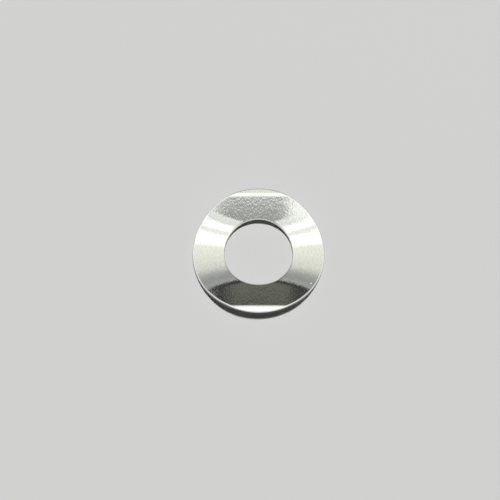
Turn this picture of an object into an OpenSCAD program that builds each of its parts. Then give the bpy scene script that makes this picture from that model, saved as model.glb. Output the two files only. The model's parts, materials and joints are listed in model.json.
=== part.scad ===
// Wave spring washer: a round sheet-steel ring pressed into one straight wave.
// The trough runs along X through the bore and rests on Z = 0. The two crests run
// along X near the front and back edges, and a narrow lip beyond each dips again.
// Millimetres, bore axis on Z, wave across Y.

/* [Ring] */
// outside diameter of the blank, kept along the straight generators
outer_d = 12; // [6:0.1:40]
// diameter of the hole, an easy clearance on its screw
bore_d = 6.2; // [2:0.1:25]
// thickness of the spring-steel sheet
sheet_t = 0.35; // [0.1:0.05:1.5]

/* [Wave] */
// free height, from the surface it rests on to the top of the crests
free_h = 1.6; // [0.6:0.05:5]
// length of each flat flank, up the slope between the trough's bend and the crest's
flank_l = 2.18; // [0.2:0.02:8]
// radius of the tight bend along each crest, at mid-thickness
crest_r = 0.75; // [0.3:0.05:4]
// width of the lip beyond each crest line, along the sheet
lip_w = 0.42; // [0.2:0.02:4]
// how far each lip dips below level, in degrees
lip_angle = 3.5; // [0:0.5:15]

/* [Hidden] */
$fn = 96;

// bright-rolled stainless steel
steel = [0.76, 0.77, 0.75];
// radians in a degree
rad = PI / 180;
blank_r = outer_d / 2;
// rise of the sheet's middle from trough to crest
rise = free_h - sheet_t;
// developed distance from the trough line to a crest line
run = blank_r - lip_w;
// share of that distance that the trough's bend and the crest's take up together
bent = run - flank_l;

// height gained over the developed run at slope a, round both bends and up the flat flank
function gain(a) = bent * (1 - cos(a)) / (a * rad) + flank_l * sin(a);
// halves the bracket round the slope that gains the rise exactly
halvings = 40;
function slope(low, high, steps) =
    let (middle = (low + high) / 2)
    steps == 0 ? middle :
    gain(middle) < rise ? slope(middle, high, steps - 1) : slope(low, middle, steps - 1);

flank_angle = slope(0, 90, halvings);
// the trough's radius at mid-thickness is what both bends need together, less the crest's,
// to the nearest micron, so that the section's pieces meet exactly
micron = 0.001;
trough_r = micron * round((bent / (flank_angle * rad) - crest_r) / micron);
bend_sum = trough_r + crest_r;
crest_y = bend_sum * sin(flank_angle) + flank_l * cos(flank_angle);
// angle that the sheet turns through over the crest
crest_turn = flank_angle + lip_angle;
// flat part of the lip, past its share of the crest bend
lip_l = lip_w - crest_r * lip_angle * rad;
// forming draws the front and back edges of the round blank in to this
across_r = crest_y + crest_r * sin(lip_angle) + lip_l * cos(lip_angle);
// stock beyond the outline, trimmed off with it
trim = sheet_t;
// how far two arcs of one bend share the same curve where they meet, in degrees
lap = 2;
// the bore's seam, half-way up the slope and clear of the line that the ring rests on
seam_turn = 45;

// Sheet bent at mid-radius r, from straight up round through the angle to the right.
module bend(r, angle) {
    reach = 2 * (r + sheet_t);
    intersection() {
        difference() {
            circle(r + sheet_t / 2);
            circle(r - sheet_t / 2);
        }
        polygon([[0, 0], [0, reach], [reach * sin(angle), reach * cos(angle)]]);
    }
}

// Flat sheet of length l, starting at the middle of the section.
module flat(l) {
    translate([0, -sheet_t / 2]) square([l, sheet_t]);
}

// Half of the section, from the trough up the flank, over the crest and along the lip.
// Each length starts in the frame that the one before it ends in, so all are tangent.
// A bend is two arcs of one circle, one drawn back from each of its neighbours.
module half_section() {
    translate([0, trough_r + sheet_t / 2]) rotate(flank_angle) {
        rotate(180) bend(trough_r, flank_angle + lap / 2);
        translate([0, -trough_r]) flat(flank_l);
        translate([flank_l, -bend_sum]) {
            bend(crest_r, (crest_turn + lap) / 2);
            rotate(-crest_turn) {
                mirror([1, 0]) bend(crest_r, (crest_turn + lap) / 2);
                translate([0, crest_r]) flat(lip_l + trim);
            }
        }
    }
}

// The corrugated strip that the ring is cut from, its straight lines along X.
module strip() {
    rotate([90, 0, 90]) linear_extrude(outer_d + 2 * trim, center = true) {
        half_section();
        mirror([1, 0]) half_section();
    }
}

// Outline in plan: the drawn-in blank, with the round bore on its centre.
module outline() {
    difference() {
        translate([0, 0, -trim]) linear_extrude(free_h + 2 * trim)
            scale([1, across_r / blank_r]) circle(blank_r);
        rotate(seam_turn) translate([0, 0, -2 * trim])
            cylinder(d = bore_d, h = free_h + 4 * trim);
    }
}

module wave_washer() {
    color(steel) intersection() {
        strip();
        outline();
    }
}

wave_washer();
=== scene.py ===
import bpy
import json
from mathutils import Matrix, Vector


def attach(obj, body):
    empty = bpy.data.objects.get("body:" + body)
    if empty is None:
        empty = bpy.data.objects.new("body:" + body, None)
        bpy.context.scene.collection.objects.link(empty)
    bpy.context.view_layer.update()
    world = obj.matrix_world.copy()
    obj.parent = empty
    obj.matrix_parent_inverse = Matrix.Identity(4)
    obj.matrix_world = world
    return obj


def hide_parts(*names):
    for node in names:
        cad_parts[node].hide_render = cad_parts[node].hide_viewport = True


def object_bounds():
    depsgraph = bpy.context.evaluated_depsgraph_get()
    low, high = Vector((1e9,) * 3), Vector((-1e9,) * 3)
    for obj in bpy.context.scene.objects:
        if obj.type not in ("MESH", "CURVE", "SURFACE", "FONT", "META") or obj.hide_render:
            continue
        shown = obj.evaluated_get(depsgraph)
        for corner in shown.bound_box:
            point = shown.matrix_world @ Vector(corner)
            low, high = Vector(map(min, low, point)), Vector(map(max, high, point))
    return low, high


bl_info = {
    "name": "Wave Washer",
    "version": (1, 0, 0),
    "blender": (4, 5, 0),
    "location": "3D View > Sidebar > Washer",
    "description": "A single-wave spring washer pressed from bright-rolled steel, "
                   "on a plain studio floor",
    "category": "Object",
}

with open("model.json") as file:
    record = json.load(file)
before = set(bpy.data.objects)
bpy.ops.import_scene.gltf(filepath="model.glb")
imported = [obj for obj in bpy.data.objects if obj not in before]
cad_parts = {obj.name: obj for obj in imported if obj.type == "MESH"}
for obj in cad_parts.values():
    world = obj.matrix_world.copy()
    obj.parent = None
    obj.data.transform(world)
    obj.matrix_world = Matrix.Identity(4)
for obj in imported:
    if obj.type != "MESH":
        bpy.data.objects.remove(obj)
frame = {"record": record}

import json
import math

import bmesh
import bpy
from bpy.props import FloatProperty, FloatVectorProperty, IntProperty, PointerProperty
from mathutils import Matrix, Vector

NODE = "wave_washer"
CAD_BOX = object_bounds()
BORE = frame["record"]["mounts"][0]["dims"]["r_mm"] * 0.001
STEEL = frame["record"]["materials"][0]["base_color"]
MM = 0.001
# corners this near each other are one, and corners this near an edge's radius and level are on it
NEAR = 0.001 * MM
# a small nick in the upper face: its middle, its radius and its depth
NICK = (4.69 * MM, -2.9 * MM, 0.7 * MM)
NICK_RADIUS = 0.1 * MM
NICK_DEPTH = 0.03 * MM


# ---------------------------------------------------------------- settings

class WasherShape(bpy.types.PropertyGroup):
    """Sizes of the pressed ring."""

    outer_d: FloatProperty(
        name="Outer Diameter", description="Across the flat round blank",
        default=CAD_BOX[1].x - CAD_BOX[0].x, min=0.004, precision=5, unit="LENGTH")
    bore_d: FloatProperty(
        name="Bore Diameter", description="Across the hole, seen from above",
        default=2 * BORE, min=0.001, precision=5, unit="LENGTH")
    sheet_t: FloatProperty(
        name="Sheet Thickness", description="Thickness of the strip that the ring is blanked from",
        default=0.35 * MM, min=0.0001, precision=5, unit="LENGTH")
    free_h: FloatProperty(
        name="Free Height", description="Unloaded height from the trough to the crests",
        default=CAD_BOX[1].z - CAD_BOX[0].z, min=0.0004, precision=5, unit="LENGTH")
    front_crest_r: FloatProperty(
        name="Front Crest Radius",
        description="Bend radius of the sharper front crest, at the middle of the sheet",
        default=0.30 * MM, min=0.0002, precision=5, unit="LENGTH")
    back_crest_r: FloatProperty(
        name="Back Crest Radius",
        description="Bend radius of the softer back crest, at the middle of the sheet",
        default=1.0 * MM, min=0.0002, precision=5, unit="LENGTH")
    trough_r: FloatProperty(
        name="Trough Radius", description="Bend radius of the trough, at the middle of the sheet",
        default=9.658 * MM, min=0.001, precision=5, unit="LENGTH")
    front_lip_w: FloatProperty(
        name="Front Lip Width",
        description="Length of sheet from the top of the front crest to the rim",
        default=0.495 * MM, min=0.0001, precision=6, unit="LENGTH")
    front_stretch: FloatProperty(
        name="Front Lip Stretch",
        description="How much the sharp front crest draws the sheet of its lip out",
        default=0.04 * MM, min=0, precision=6, unit="LENGTH")
    back_lip_w: FloatProperty(
        name="Back Lip Width",
        description="Length of sheet from the top of the back crest to the rim",
        default=0.40 * MM, min=0.0001, precision=5, unit="LENGTH")
    front_lip_angle: FloatProperty(
        name="Front Lip Angle", description="How far the front lip dips beyond its crest",
        default=math.radians(4.3), min=0, max=0.5, subtype="ANGLE")
    back_lip_angle: FloatProperty(
        name="Back Lip Angle", description="How far the back lip dips beyond its crest",
        default=math.radians(0.8), min=0, max=0.5, subtype="ANGLE")
    spread: FloatProperty(
        name="Bend Spread",
        description="How much wider the trough's bend grows towards the sides of the ring",
        default=0.708, min=0, max=1.5)
    spread_from: FloatProperty(
        name="Bend Spread From",
        description="Distance from the bore axis at which the trough's bend is as drawn, "
                    "as a share of the outer radius",
        default=0.267, min=0, max=1, subtype="FACTOR")
    rim_roll: FloatProperty(
        name="Rim Roll", description="Rounding that the die leaves on the upper edge of the rim",
        default=0.09 * MM, min=0, precision=5, unit="LENGTH")
    bore_roll: FloatProperty(
        name="Bore Roll",
        description="Rounding that the punch leaves on the upper edge of the bore",
        default=0.12 * MM, min=0, precision=5, unit="LENGTH")
    burr: FloatProperty(
        name="Lower Edge", description="Rounding of the tumbled lower edges",
        default=0.025 * MM, min=0, precision=5, unit="LENGTH")
    around: IntProperty(
        name="Steps Around", description="Faces round the ring", default=600, min=48, max=720)
    across: IntProperty(
        name="Steps Across", description="Faces from the bore to the rim",
        default=56, min=8, max=96)


class SteelFinish(bpy.types.PropertyGroup):
    """Look of the rolled sheet and of its sheared edges."""

    colour: FloatVectorProperty(
        name="Steel Colour", description="Reflected colour of the bare steel",
        default=STEEL, size=3, min=0, max=1, subtype="COLOR")
    roughness: FloatProperty(
        name="Roughness", description="Roughness of the rolled faces",
        default=0.07, min=0, max=1, subtype="FACTOR")
    grain: FloatProperty(
        name="Grain Size", description="Distance between the fine pits of the rolled finish",
        default=0.09 * MM, min=0.00001, precision=6, unit="LENGTH")
    grain_depth: FloatProperty(
        name="Grain Depth", description="Depth of those pits",
        default=0.0028 * MM, min=0, precision=8, unit="LENGTH")
    ripple: FloatProperty(
        name="Ripple Size", description="Distance between the slow swells of the sheet",
        default=0.9 * MM, min=0.0001, precision=5, unit="LENGTH")
    ripple_depth: FloatProperty(
        name="Ripple Depth", description="Depth of those swells",
        default=0.002 * MM, min=0, precision=8, unit="LENGTH")
    edge_roughness: FloatProperty(
        name="Edge Roughness", description="Roughness of the sheared walls",
        default=0.34, min=0, max=1, subtype="FACTOR")


class StudioStage(bpy.types.PropertyGroup):
    """Floor, light and camera."""

    floor_colour: FloatVectorProperty(
        name="Floor Colour", description="Colour of the plain floor",
        default=(0.62, 0.62, 0.61), size=3, min=0, max=1, subtype="COLOR")
    floor_size: FloatProperty(
        name="Floor Size", description="Width of the floor", default=3.0, min=0.1, unit="LENGTH")
    lamp_power: FloatProperty(
        name="Lamp Power", description="Power of the round lamp above the washer",
        default=40, min=0, unit="POWER")
    lamp_size: FloatProperty(
        name="Lamp Size", description="Width of the round lamp",
        default=0.24, min=0.001, unit="LENGTH")
    lamp_height: FloatProperty(
        name="Lamp Distance", description="Distance from the lamp to the washer",
        default=2.0, min=0.05, unit="LENGTH")
    lamp_tilt: FloatProperty(
        name="Lamp Tilt", description="How far the lamp leans to the back",
        default=math.radians(8), subtype="ANGLE")
    lamp_lean: FloatProperty(
        name="Lamp Lean", description="How far the lamp leans to the right",
        default=math.radians(3), subtype="ANGLE")
    dome_level: FloatProperty(
        name="Dome Level", description="Brightness of the dome", default=1.06, min=0, max=3)
    dome_fill: FloatProperty(
        name="Dome Fill", description="Share of the dome's light that falls on the floor",
        default=0.015, min=0, max=1, subtype="FACTOR")
    view_height: FloatProperty(
        name="View Elevation", description="Camera's angle above the floor",
        default=math.radians(72.3), subtype="ANGLE")
    view_distance: FloatProperty(
        name="View Distance", description="Distance from the camera to the floor",
        default=0.1, min=0.02, unit="LENGTH")
    lens: FloatProperty(
        name="Lens", description="Focal length of the camera", default=78.83, min=10, unit="CAMERA")


# ---------------------------------------------------------------- wave section

# the search for the flank's slope starts at nearly flat and halves its bracket this often
NEARLY_FLAT, HALVINGS = 1e-6, 40


class Wave:
    """One half of the pressed section, from the trough line over one crest to the rim.

    Distances run from the trough line and heights from the floor, at the middle of the sheet."""

    def __init__(self, shape, crest_r, lip_w, lip_angle, stretch=0):
        self.half_t = shape.sheet_t / 2
        self.rim = shape.outer_d / 2
        rise = shape.free_h - shape.sheet_t
        run = self.rim - lip_w
        bend = shape.trough_r + crest_r
        # the slope that lifts the crest to the free height; at the steepest, no flat is left
        low, high = NEARLY_FLAT, run / bend
        for _ in range(HALVINGS):
            mid = (low + high) / 2
            reached = bend * (1 - math.cos(mid)) + (run - bend * mid) * math.sin(mid)
            low, high = (mid, high) if reached < rise else (low, mid)
        self.flank = low
        self.crest_r = crest_r
        self.trough_r = shape.trough_r
        self.crest_y = bend * math.sin(low) + (run - bend * low) * math.cos(low)
        self.trough_y = self.trough_r * math.sin(low)
        self.shoulder_y = self.crest_y - self.crest_r * math.sin(low)
        self.lip = lip_angle
        self.lip_y = self.crest_y + self.crest_r * math.sin(self.lip)
        lip_l = lip_w + stretch - crest_r * lip_angle
        self.across_r = self.lip_y + lip_l * math.cos(self.lip)
        self.spread = shape.spread / self.rim ** 2
        self.spread_from = (shape.spread_from * self.rim) ** 2

    def trough_and_flank(self, y):
        """Height above the trough line and steepness at y."""
        if y < self.trough_y:
            drop = math.sqrt(self.trough_r ** 2 - y * y)
            return self.trough_r - drop, y / drop
        steep = math.tan(self.flank)
        return self.trough_r * (1 - math.cos(self.flank)) + (y - self.trough_y) * steep, steep

    def crest_and_lip(self, y):
        """Height above a crest's bend axis and steepness at y."""
        if y < self.lip_y:
            up = math.sqrt(self.crest_r ** 2 - (y - self.crest_y) ** 2)
            return up, (self.crest_y - y) / up
        steep = -math.tan(self.lip)
        return self.crest_r * math.cos(self.lip) + (y - self.lip_y) * steep, steep

    def middle(self, x, y):
        """Height of the middle of the sheet at a place in plan, and its steepness along X and Y.

        The trough's bend widens away from the bore, where more sheet resists it."""
        side, y = (1 if y >= 0 else -1), abs(y)
        wide = 1 + self.spread * (x * x - self.spread_from)
        widening = 2 * self.spread * x
        bent = min(y, self.shoulder_y) / wide
        height, steep = self.trough_and_flank(bent)
        along = widening * (height - bent * steep)
        height = self.half_t + wide * height
        if y > self.shoulder_y:
            height -= self.crest_and_lip(self.shoulder_y)[0]
            crest, steep = self.crest_and_lip(y)
            height += crest
        return height, along, side * steep

    def place(self, blank):
        """Where a point of the flat blank goes when it is pressed.

        The blank's walls stay square to the sheet."""
        height, along, steep = self.middle(blank.x, blank.y)
        normal = Vector((-along, -steep, 1)).normalized()
        return Vector((blank.x, blank.y, height)) + normal * blank.z


# ---------------------------------------------------------------- modelling

# faces across each rounded edge
ROUNDING_STEPS = 5
# cuts that divide each wall between its rounded edges
WALL_CUTS = 3
# a face belongs to a wall if its normal climbs less than this
WALL_CLIMB = 0.3


def flat_blank(bm, shape):
    """A flat washer with rounded edges: its section spun round the bore axis and cut finely across.

    Each point keeps its depth in the sheet, from 0 at the upper face to 1 at the lower."""
    bore_r, rim_r, half = shape.bore_d / 2, shape.outer_d / 2, shape.sheet_t / 2
    # the section starts as a square of side 2, stood upright
    bmesh.ops.create_circle(bm, cap_ends=False, segments=4, radius=math.sqrt(2))
    for angle, axis in ((math.pi / 4, "Z"), (math.pi / 2, "X")):
        bmesh.ops.rotate(bm, verts=bm.verts, cent=(0, 0, 0), matrix=Matrix.Rotation(angle, 3, axis))
    bmesh.ops.scale(bm, verts=bm.verts, vec=((rim_r - bore_r) / 2, 1, half))
    bmesh.ops.translate(bm, verts=bm.verts, vec=((rim_r + bore_r) / 2, 0, 0))
    bmesh.ops.spin(bm, geom=bm.verts[:] + bm.edges[:], cent=(0, 0, 0), axis=(0, 0, 1),
                   angle=2 * math.pi, steps=shape.around, use_merge=True)
    bmesh.ops.remove_doubles(bm, verts=bm.verts, dist=NEAR)

    def round_edge(radius, level, size):
        """Rounds the whole edge at a radius and a level."""
        loop = [e for e in bm.edges
                if all(abs(v.co.z - level) < NEAR and abs(v.co.xy.length - radius) < NEAR
                       for v in e.verts)]
        if len(loop) != shape.around:
            raise RuntimeError(f"only {len(loop)} of the {shape.around} edges to round were found "
                               f"at radius {radius / MM:.3f} mm")
        bmesh.ops.bevel(bm, geom=loop, offset=size, offset_type="OFFSET", affect="EDGES",
                        segments=ROUNDING_STEPS, profile=0.5, material=-1)

    round_edge(rim_r, half, shape.rim_roll)
    round_edge(bore_r, half, shape.bore_roll)
    round_edge(rim_r, -half, shape.burr)
    round_edge(bore_r, -half, shape.burr)
    # edges that run most of the way from the bore to the rim, then those down the walls
    across = [e for e in bm.edges
              if abs(e.verts[0].co.xy.length - e.verts[1].co.xy.length) > (rim_r - bore_r) / 2]
    bmesh.ops.subdivide_edges(bm, edges=across, cuts=shape.across - 1, use_grid_fill=True)
    upright = [e for e in bm.edges if abs(e.verts[0].co.z - e.verts[1].co.z) > half / 2]
    bmesh.ops.subdivide_edges(bm, edges=upright, cuts=WALL_CUTS, use_grid_fill=True)
    bmesh.ops.recalc_face_normals(bm, faces=bm.faces)
    depth = bm.verts.layers.float.new("depth")
    for vert in bm.verts:
        vert[depth] = (half - vert.co.z) / shape.sheet_t
    for face in bm.faces:
        face.smooth = True
        face.material_index = 1 if abs(face.normal.z) < WALL_CLIMB else 0


def press(bm, shape):
    """Presses the flat blank into the wave."""
    front = Wave(shape, shape.front_crest_r, shape.front_lip_w, shape.front_lip_angle,
                 shape.front_stretch)
    back = Wave(shape, shape.back_crest_r, shape.back_lip_w, shape.back_lip_angle)
    bore_r, rim_r = shape.bore_d / 2, shape.outer_d / 2
    for vert in bm.verts:
        wave = front if vert.co.y < 0 else back
        # the rim draws in as the sheet bends, and the bore stays round in plan
        out = (vert.co.xy.length - bore_r) / (rim_r - bore_r)
        vert.co.y *= 1 + (wave.across_r / rim_r - 1) * out
        vert.co = wave.place(vert.co)


# ---------------------------------------------------------------- finishes

# noise seldom leaves this range
NOISE_RANGE = (0.3, 0.7)
# the smoothest and roughest places of a surface, as shares of its roughness
ROLLED_RANGE = (0.85, 1.2)
SHEARED_RANGE = (0.8, 1.2)
# the line between burnished and torn steel wanders by this share of the sheet, and this widely
WANDER, WANDER_SIZE = 0.3, 0.3 * MM
# the depths in the sheet, wander included, between which burnished steel gives way to torn steel
# darkened with painted shade
TEAR = (0.45, 0.65)
# how much of the steel's colour burnished and torn steel show; the torn share is set darker still
# as painted shade, for the shadowed floor that the lower wall mirrors
BURNISHED, TORN_AND_PAINTED_SHADE = 0.85, 0.22
# height of the score lines
SCORE_DEPTH = 0.002 * MM


def new_material(name):
    """A material with an empty node tree, an output and one Principled shader."""
    material = bpy.data.materials.new(name)
    material.use_nodes = True
    tree = material.node_tree
    tree.nodes.clear()
    output = tree.nodes.new("ShaderNodeOutputMaterial")
    shader = tree.nodes.new("ShaderNodeBsdfPrincipled")
    tree.links.new(shader.outputs["BSDF"], output.inputs["Surface"])
    return material, tree, shader


def noise(tree, vector, size, detail=2.0, rough=0.5):
    """Noise whose swells are about size apart."""
    node = tree.nodes.new("ShaderNodeTexNoise")
    node.inputs["Scale"].default_value = 1 / size
    node.inputs["Detail"].default_value = detail
    node.inputs["Roughness"].default_value = rough
    tree.links.new(vector, node.inputs["Vector"])
    return node.outputs["Fac"]


def steel_grain_group():
    """Fine grain of bare steel: a colour, a roughness and a height from one noise.

    Rolling draws it out along Y by Rolled, and shearing draws it out along Z by Scored."""
    group = bpy.data.node_groups.new("steel_grain", "ShaderNodeTree")
    sockets = (
        ("Steel", "NodeSocketColor", (0.8, 0.8, 0.8, 1)),
        ("Darkest", "NodeSocketFloat", 0.9),
        ("Size", "NodeSocketFloat", 0.1 * MM),
        ("Rolled", "NodeSocketFloat", 1.0),
        ("Scored", "NodeSocketFloat", 1.0),
        ("Detail", "NodeSocketFloat", 0.0),
        ("Smoothest", "NodeSocketFloat", 0.1),
        ("Roughest", "NodeSocketFloat", 0.2),
    )
    results = (
        ("Color", "NodeSocketColor"),
        ("Roughness", "NodeSocketFloat"),
        ("Height", "NodeSocketFloat"),
    )
    for name, kind, default in sockets:
        group.interface.new_socket(name, in_out="INPUT", socket_type=kind).default_value = default
    for name, kind in results:
        group.interface.new_socket(name, in_out="OUTPUT", socket_type=kind)
    link, new = group.links.new, group.nodes.new
    given, out = new("NodeGroupInput"), new("NodeGroupOutput")
    place = new("ShaderNodeTexCoord").outputs["Object"]
    stretch = new("ShaderNodeCombineXYZ")
    stretch.inputs["X"].default_value = 1
    link(given.outputs["Rolled"], stretch.inputs["Y"])
    link(given.outputs["Scored"], stretch.inputs["Z"])
    mapping = new("ShaderNodeMapping")
    mapping.vector_type = "TEXTURE"
    link(place, mapping.inputs["Vector"])
    link(stretch.outputs["Vector"], mapping.inputs["Scale"])
    scale = new("ShaderNodeMath")
    scale.operation = "DIVIDE"
    scale.inputs[0].default_value = 1
    link(given.outputs["Size"], scale.inputs[1])
    speck = new("ShaderNodeTexNoise")
    link(mapping.outputs["Vector"], speck.inputs["Vector"])
    link(scale.outputs[0], speck.inputs["Scale"])
    link(given.outputs["Detail"], speck.inputs["Detail"])
    level = new("ShaderNodeMapRange")
    level.inputs["From Min"].default_value, level.inputs["From Max"].default_value = NOISE_RANGE
    link(speck.outputs["Fac"], level.inputs["Value"])
    dark = new("ShaderNodeMapRange")
    link(level.outputs["Result"], dark.inputs["Value"])
    link(given.outputs["Darkest"], dark.inputs["To Min"])
    shaded = new("ShaderNodeVectorMath")
    shaded.operation = "SCALE"
    link(given.outputs["Steel"], shaded.inputs[0])
    link(dark.outputs["Result"], shaded.inputs["Scale"])
    link(shaded.outputs["Vector"], out.inputs["Color"])
    rough = new("ShaderNodeMapRange")
    link(level.outputs["Result"], rough.inputs["Value"])
    link(given.outputs["Roughest"], rough.inputs["To Min"])
    link(given.outputs["Smoothest"], rough.inputs["To Max"])
    link(rough.outputs["Result"], out.inputs["Roughness"])
    link(speck.outputs["Fac"], out.inputs["Height"])
    return group


def grained_steel(name, steel, **values):
    """A bare metal material with the steel grain in it.

    Returns it with its tree, its shader and the grain's height."""
    material, tree, shader = new_material(name)
    grain = tree.nodes.new("ShaderNodeGroup")
    grain.node_tree = bpy.data.node_groups.get("steel_grain") or steel_grain_group()
    grain.inputs["Steel"].default_value = (*steel, 1)
    for socket, value in values.items():
        grain.inputs[socket.capitalize()].default_value = value
    shader.inputs["Metallic"].default_value = 1
    tree.links.new(grain.outputs["Color"], shader.inputs["Base Color"])
    tree.links.new(grain.outputs["Roughness"], shader.inputs["Roughness"])
    return material, tree, shader, grain.outputs["Height"]


def bump(tree, height, depth, normal=None):
    """A bump of that depth, in metres, on top of another normal."""
    node = tree.nodes.new("ShaderNodeBump")
    node.inputs["Strength"].default_value = 1
    node.inputs["Distance"].default_value = depth
    tree.links.new(height, node.inputs["Height"])
    if normal is not None:
        tree.links.new(normal, node.inputs["Normal"])
    return node.outputs["Normal"]


def nick(tree, centre, radius):
    """1 in the middle of a small round nick, falling to 0 at its edge."""
    mapping = tree.nodes.new("ShaderNodeMapping")
    mapping.vector_type = "TEXTURE"
    mapping.inputs["Location"].default_value = centre
    mapping.inputs["Scale"].default_value = (radius, radius, radius)
    tree.links.new(tree.nodes.new("ShaderNodeTexCoord").outputs["Object"], mapping.inputs["Vector"])
    ball = tree.nodes.new("ShaderNodeTexGradient")
    ball.gradient_type = "SPHERICAL"
    tree.links.new(mapping.outputs["Vector"], ball.inputs["Vector"])
    return ball.outputs["Fac"]


def rolled_face(finish):
    """Bright-rolled sheet: nearly a mirror, with a fine grain, slow swells and one small nick."""
    material, tree, shader, height = grained_steel(
        "rolled_face", finish.colour, darkest=0.90, size=finish.grain, rolled=3,
        smoothest=finish.roughness * ROLLED_RANGE[0], roughest=finish.roughness * ROLLED_RANGE[1])
    place = tree.nodes.new("ShaderNodeTexCoord").outputs["Object"]
    swell = noise(tree, place, finish.ripple, detail=1.0, rough=0.4)
    slow = bump(tree, swell, finish.ripple_depth)
    nicked = bump(tree, nick(tree, NICK, NICK_RADIUS), NICK_DEPTH, slow)
    tree.links.new(bump(tree, height, finish.grain_depth, nicked), shader.inputs["Normal"])
    return material


def sheared_wall(finish):
    """Sheared wall: burnished by the punch at the top, torn and dark below, scored upright. The
    dark below is partly torn steel and partly painted shade for the shadowed floor that the wall
    mirrors.
    """
    material, tree, shader, height = grained_steel(
        "sheared_wall", finish.colour, darkest=0.8, size=0.05 * MM, scored=16, detail=2,
        smoothest=finish.edge_roughness * SHEARED_RANGE[0],
        roughest=finish.edge_roughness * SHEARED_RANGE[1])
    link, new = tree.links.new, tree.nodes.new
    link(bump(tree, height, SCORE_DEPTH), shader.inputs["Normal"])
    depth = new("ShaderNodeAttribute")
    depth.attribute_name = "depth"
    wander = new("ShaderNodeMath")
    wander.operation = "MULTIPLY_ADD"
    link(noise(tree, new("ShaderNodeTexCoord").outputs["Object"], WANDER_SIZE), wander.inputs[0])
    wander.inputs[1].default_value = WANDER
    link(depth.outputs["Fac"], wander.inputs[2])
    # painted shade: the wall's colour falls from burnished to torn steel and darker still, standing
    # in for the dark shadowed floor that the lower wall mirrors
    torn_and_painted_shade = new("ShaderNodeMapRange")
    torn_and_painted_shade.interpolation_type = "SMOOTHSTEP"
    link(wander.outputs[0], torn_and_painted_shade.inputs["Value"])
    torn_and_painted_shade.inputs["From Min"].default_value, torn_and_painted_shade.inputs["From Max"].default_value = TEAR
    torn_and_painted_shade.inputs["To Min"].default_value = BURNISHED
    torn_and_painted_shade.inputs["To Max"].default_value = TORN_AND_PAINTED_SHADE
    shaded = new("ShaderNodeVectorMath")
    shaded.operation = "SCALE"
    link(shader.inputs["Base Color"].links[0].from_socket, shaded.inputs[0])
    link(torn_and_painted_shade.outputs["Result"], shaded.inputs["Scale"])
    link(shaded.outputs["Vector"], shader.inputs["Base Color"])
    return material


# ---------------------------------------------------------------- stage

# tints of the dome's light
PLAIN = (1.0, 1.01, 0.97)
WARM = (1.0, 1.01, 0.90)
AMBER = (1.0, 1.01, 0.84)

# The dome from the front wall over the ceiling to the back wall: degrees from straight up
# towards the back, level and tint.
DOME = (
    (-90, 0.45, PLAIN),
    (-55, 1.10, PLAIN),
    (-28, 0.90, PLAIN),
    (-15, 1.00, PLAIN),
    (-12, 0.92, PLAIN),
    (0, 1.05, PLAIN),
    (14, 1.04, WARM),
    (20, 0.98, WARM),
    (30, 0.82, WARM),
    (36, 0.46, PLAIN),
    (41, 0.36, PLAIN),
    (45, 0.42, PLAIN),
    (90, 0.42, PLAIN),
)
# Panels in front of the dome: degrees from straight up towards the back, degrees to the right,
# softness of the edge each way in degrees, level and tint.
PANELS = (
    # grey card in front, with the lit side lamp to its right
    ((-42, -17.3), (-10.5, 8.5), (1.2, 2.5), 0.38, PLAIN),
    ((-30, -9), (8.5, 40), (2, 2), 1.20, PLAIN),
    # two strip lamps overhead
    ((-9.5, -3), (-40, 40), (2, 5), 1.45, PLAIN),
    ((1, 11), (-40, 40), (3, 5), 1.45, PLAIN),
    # dark card behind, paler in its middle
    ((48, 60), (-10, 12), (2.5, 1), 0.05, PLAIN),
    ((52, 60), (-6.5, 8), (2, 2), 0.165, AMBER),
)
# the dome's plain bright sides: where they start and are full, in degrees aside, and their light
SIDES_FROM, SIDES_FULL, SIDE_LIGHT = 18, 35, (1.25, 1.26, 1.21, 1)
# the side walls darken from one height to another, in degrees, but for a gap in front and behind
# that closes between two angles aside
DARKEN_FROM, DARKEN_FULL, GAP_FROM, GAP_FULL = 36, 8, 10, 22
LOW_LIGHT = (0.22, 0.23, 0.23, 1)
# the point of the floor in the middle of the view
AIM = (-0.776 * MM, 0.419 * MM, 0)


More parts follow.
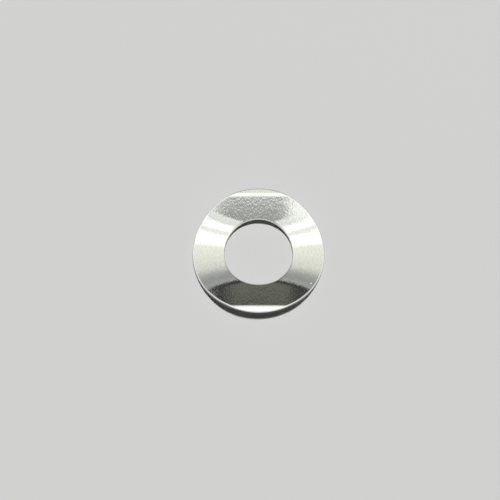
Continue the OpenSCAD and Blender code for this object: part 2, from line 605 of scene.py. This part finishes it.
def studio_dome(scene, stage):
    """The light round the washer: a pale dome with its lamps, a grey card and a dark card."""
    world = bpy.data.worlds.new("studio_dome")
    scene.world = world
    world.use_nodes = True
    tree = world.node_tree
    tree.nodes.clear()
    link = tree.links.new

    def math_node(operation, *values, clamp=False):
        """The result of one operation on numbers or sockets."""
        node = tree.nodes.new("ShaderNodeMath")
        node.operation = operation
        node.use_clamp = clamp
        for socket, value in zip(node.inputs, values):
            if isinstance(value, (int, float)):
                socket.default_value = value
            else:
                link(value, socket)
        return node.outputs[0]

    place = tree.nodes.new("ShaderNodeTexCoord").outputs["Generated"]
    parts = tree.nodes.new("ShaderNodeSeparateXYZ")
    link(place, parts.inputs[0])
    # angle towards the back, its place on the way from the front wall to the back, and angle aside
    overhead = math_node("ARCTAN2", parts.outputs["Y"], parts.outputs["Z"])
    share = math_node("ADD", math_node("DIVIDE", overhead, math.pi), 0.5, clamp=True)
    sideways = math_node("ARCSINE", parts.outputs["X"])

    def mix(factor, first, second):
        """The first colour where the factor is 0, the second where it is 1."""
        node = tree.nodes.new("ShaderNodeMix")
        node.data_type = "RGBA"
        link(factor, node.inputs["Factor"])
        link(first, node.inputs["A"])
        node.inputs["B"].default_value = second
        return node.outputs["Result"]

    def beyond(start, end, value):
        """0 to 1 as an angle goes from start to end degrees."""
        node = tree.nodes.new("ShaderNodeMapRange")
        node.interpolation_type = "SMOOTHSTEP"
        node.inputs["From Min"].default_value = math.radians(start)
        node.inputs["From Max"].default_value = math.radians(end)
        link(value, node.inputs["Value"])
        return node.outputs["Result"]

    def within(span, soft, value):
        """1 where an angle lies within a span, falling to 0 over a soft edge."""
        start, end = span
        return math_node("MULTIPLY", beyond(start - soft / 2, start + soft / 2, value),
                         beyond(end + soft / 2, end - soft / 2, value))

    ramp = tree.nodes.new("ShaderNodeValToRGB")
    link(share, ramp.inputs["Fac"])
    stops = ramp.color_ramp.elements
    while len(stops) < len(DOME):
        stops.new(0.5)
    for stop, (angle, level, tint) in zip(stops, DOME):
        stop.position = angle / 180 + 0.5
        stop.color = (*[level * c for c in tint], 1)
    light = ramp.outputs["Color"]
    for back, right, (soft_back, soft_right), level, tint in PANELS:
        panel = math_node("MULTIPLY", within(back, soft_back, overhead),
                          within(right, soft_right, sideways))
        light = mix(panel, light, (*[level * c for c in tint], 1))
    aside = math_node("ABSOLUTE", sideways)
    light = mix(beyond(SIDES_FROM, SIDES_FULL, aside), light, SIDE_LIGHT)
    height = math_node("ARCSINE", parts.outputs["Z"])
    low = math_node("MULTIPLY", beyond(DARKEN_FROM, DARKEN_FULL, height),
                    beyond(GAP_FROM, GAP_FULL, aside))
    light = mix(low, light, LOW_LIGHT)
    # past the floor, the camera sees a background as pale as the floor
    path = tree.nodes.new("ShaderNodeLightPath")
    pale = (*[c / stage.dome_level for c in stage.floor_colour], 1)
    light = mix(path.outputs["Is Camera Ray"], light, pale)
    background = tree.nodes.new("ShaderNodeBackground")
    link(light, background.inputs["Color"])
    # the floor takes nearly all its light from the lamp
    unlit = math_node("MULTIPLY", path.outputs["Is Diffuse Ray"],
                      stage.dome_level * (1 - stage.dome_fill))
    link(math_node("SUBTRACT", stage.dome_level, unlit), background.inputs["Strength"])
    output = tree.nodes.new("ShaderNodeOutputWorld")
    link(background.outputs["Background"], output.inputs["Surface"])


def plain_floor(stage):
    """A plain pale floor at the level that the washer rests on."""
    mesh = bpy.data.meshes.new("floor")
    bm = bmesh.new()
    bmesh.ops.create_grid(bm, x_segments=1, y_segments=1, size=stage.floor_size / 2)
    bm.to_mesh(mesh)
    bm.free()
    material, _, shader = new_material("pale_floor")
    shader.inputs["Base Color"].default_value = (*stage.floor_colour, 1)
    shader.inputs["Roughness"].default_value = 0.9
    shader.inputs["Specular IOR Level"].default_value = 0.1
    mesh.materials.append(material)
    floor = bpy.data.objects.new("floor", mesh)
    bpy.context.scene.collection.objects.link(floor)


def round_lamp(stage):
    """One small round lamp above and a little behind the washer."""
    light = bpy.data.lights.new("round_lamp", "AREA")
    light.shape = "DISK"
    light.size = stage.lamp_size
    light.energy = stage.lamp_power
    lamp = bpy.data.objects.new("round_lamp", light)
    bpy.context.scene.collection.objects.link(lamp)
    away = Vector((math.tan(stage.lamp_lean), math.tan(stage.lamp_tilt), 1)).normalized()
    lamp.location = away * stage.lamp_height
    lamp.rotation_euler = away.to_track_quat("Z", "Y").to_euler()
    # the steel mirrors only the dome
    lamp.visible_glossy = False


def front_camera(stage):
    """The camera looks down from the front, a little to the left of the washer."""
    data = bpy.data.cameras.new("camera")
    data.lens = stage.lens
    data.sensor_width = 36
    data.clip_start, data.clip_end = 0.005, 10
    camera = bpy.data.objects.new("camera", data)
    bpy.context.scene.collection.objects.link(camera)
    back = Vector((0, -math.cos(stage.view_height), math.sin(stage.view_height)))
    camera.location = Vector(AIM) + back * stage.view_distance
    camera.rotation_euler = back.to_track_quat("Z", "Y").to_euler()
    bpy.context.scene.camera = camera


# ---------------------------------------------------------------- operators

class WASHER_OT_pressed_ring(bpy.types.Operator):
    """Model the pressed spring-steel ring and give it its finish"""

    bl_idname = "washer.pressed_ring"
    bl_label = "Pressed Ring"

    def execute(self, context):
        shape, finish = context.scene.washer_shape, context.scene.washer_finish
        bm = bmesh.new()
        flat_blank(bm, shape)
        press(bm, shape)
        bm.normal_update()
        mesh = bpy.data.meshes.new("pressed_ring")
        bm.to_mesh(mesh)
        bm.free()
        mesh.materials.append(rolled_face(finish))
        mesh.materials.append(sheared_wall(finish))
        ring = bpy.data.objects.new("pressed_ring", mesh)
        context.scene.collection.objects.link(ring)
        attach(ring, "root")
        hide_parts(NODE)
        return {"FINISHED"}


class WASHER_OT_studio(bpy.types.Operator):
    """Set up the floor, the light and the camera"""

    bl_idname = "washer.studio"
    bl_label = "Studio"

    def execute(self, context):
        stage = context.scene.washer_stage
        plain_floor(stage)
        studio_dome(context.scene, stage)
        round_lamp(stage)
        front_camera(stage)
        context.scene.view_settings.view_transform = "Standard"
        return {"FINISHED"}


class WASHER_PT_sidebar(bpy.types.Panel):
    """Lists the washer's pieces and settings"""

    bl_idname = "WASHER_PT_sidebar"
    bl_label = "Wave Washer"
    bl_space_type = "VIEW_3D"
    bl_region_type = "UI"
    bl_category = "Washer"

    def draw(self, context):
        scene = context.scene
        for operator, groups in (
            (WASHER_OT_pressed_ring, (scene.washer_shape, scene.washer_finish)),
            (WASHER_OT_studio, (scene.washer_stage,)),
        ):
            box = self.layout.box()
            box.operator(operator.bl_idname)
            for group in groups:
                for name in group.bl_rna.properties.keys():
                    if name not in {"rna_type", "name"}:
                        box.prop(group, name)


CLASSES = (
    WasherShape, SteelFinish, StudioStage,
    WASHER_OT_pressed_ring, WASHER_OT_studio, WASHER_PT_sidebar,
)


def register():
    """Adds the classes and the scene's settings."""
    for cls in CLASSES:
        bpy.utils.register_class(cls)
    bpy.types.Scene.washer_shape = PointerProperty(type=WasherShape)
    bpy.types.Scene.washer_finish = PointerProperty(type=SteelFinish)
    bpy.types.Scene.washer_stage = PointerProperty(type=StudioStage)


def unregister():
    """Takes them away again."""
    del bpy.types.Scene.washer_stage
    del bpy.types.Scene.washer_finish
    del bpy.types.Scene.washer_shape
    for cls in reversed(CLASSES):
        bpy.utils.unregister_class(cls)


def main():
    """Models the washer and its stage."""
    register()
    bpy.ops.washer.pressed_ring()
    bpy.ops.washer.studio()


if __name__ == "__main__":
    main()
